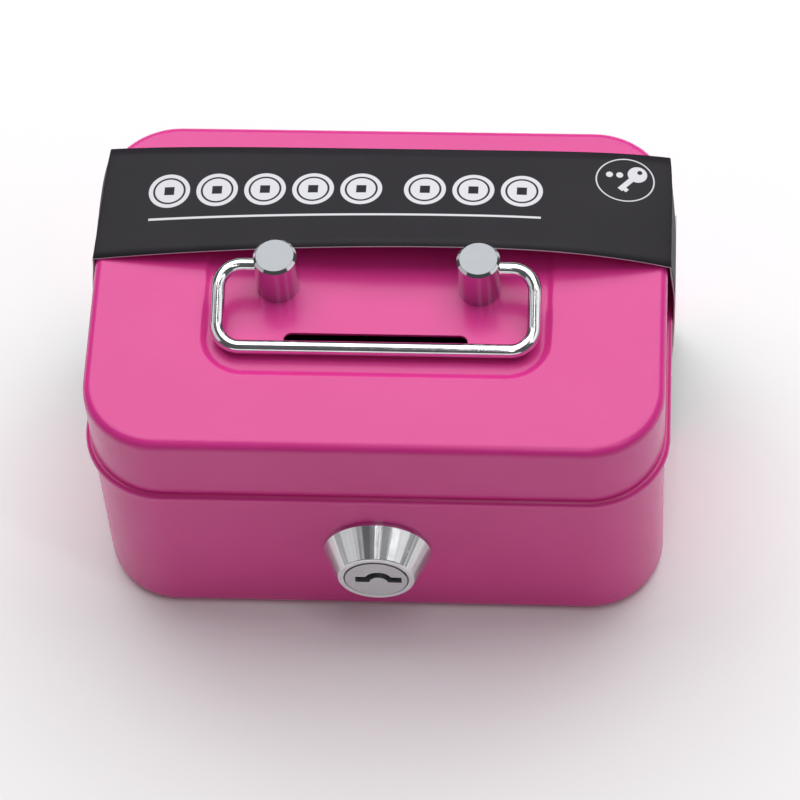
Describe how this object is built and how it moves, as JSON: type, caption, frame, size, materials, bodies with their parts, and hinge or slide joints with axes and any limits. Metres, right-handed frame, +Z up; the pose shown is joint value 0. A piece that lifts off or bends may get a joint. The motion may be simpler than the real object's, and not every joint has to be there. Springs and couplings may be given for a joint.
{
  "type": "cash box",
  "caption": "Small steel cash box with a hinged lid, cam lock, folding wire handle, coin slot, removable coin tray and a card sleeve.",
  "frame": {"origin": "on the table, under the middle of the box with the lid closed", "axes": "+X to the right along the width, +Y to the back towards the hinges, +Z up"},
  "size_m": [0.1262, 0.0988, 0.0768],
  "materials": {
    "pink_coated_steel": "glossy pink powder coat on pressed steel sheet",
    "zinc_plated_steel": "bright zinc plating, slightly cloudy",
    "satin_chrome_post": "turned and chromed, faint lathe rings on top",
    "chrome_wire": "bright chromed wire",
    "nickel_lock_face": "nickel-plated die casting, polished cone",
    "brass_wafers": "stamped brass, plain",
    "spring_steel": "drawn spring wire",
    "black_tray_plastic": "moulded black plastic with a fine grain",
    "nickel_keys": "nickel-plated flat keys",
    "black_printed_card": "matte charcoal print on white card, raw white edges"
  },
  "bodies": {
    "base": {"base_shell": "pink_coated_steel", "tray_support_left": "pink_coated_steel", "tray_support_right": "pink_coated_steel", "hinge_base_leaf_left": "pink_coated_steel", "hinge_base_leaf_right": "pink_coated_steel", "hinge_pin_left": "zinc_plated_steel", "hinge_pin_right": "zinc_plated_steel", "base_hinge_rivets": "zinc_plated_steel", "lid_stop": "pink_coated_steel", "lock_housing": "nickel_lock_face", "lock_nut": "zinc_plated_steel", "card_sleeve_lower": "black_printed_card"},
    "lid": {"lid_shell": "pink_coated_steel", "handle_post_left": "satin_chrome_post", "handle_post_right": "satin_chrome_post", "handle_post_screws": "zinc_plated_steel", "handle_post_washers": "zinc_plated_steel", "hinge_lid_leaf_left": "pink_coated_steel", "hinge_lid_leaf_right": "pink_coated_steel", "lid_hinge_rivets": "zinc_plated_steel", "lock_keeper": "pink_coated_steel", "card_sleeve_upper": "black_printed_card"},
    "handle": {"handle_bail": "chrome_wire"},
    "plug": {"lock_plug": "nickel_lock_face", "lock_wafers": "brass_wafers", "wafer_springs": "spring_steel", "lock_cam": "zinc_plated_steel", "cam_washer": "zinc_plated_steel", "cam_screw": "zinc_plated_steel"},
    "tray": {"coin_tray": "black_tray_plastic", "key_1": "nickel_keys", "key_2": "nickel_keys"}
  },
  "joints": [
    {"name": "lid_hinge", "type": "hinge", "parent": "base", "child": "lid", "pos_m": [0, 0.0452, 0.045], "axis": [-1, 0, 0], "range_deg": [0, 100]},
    {"name": "handle_swing", "type": "hinge", "parent": "lid", "child": "handle", "pos_m": [0, 0, 0.0731], "axis": [-1, 0, 0], "range_deg": [0, 185]},
    {"name": "lock_turn", "type": "hinge", "parent": "base", "child": "plug", "pos_m": [0, -0.03, 0.0255], "axis": [0, -1, 0], "range_deg": [0, 90]},
    {"name": "tray_lift", "type": "slide", "parent": "base", "child": "tray", "axis": [0, 0, 1], "range_m": [0, 0.01]}
  ]
}
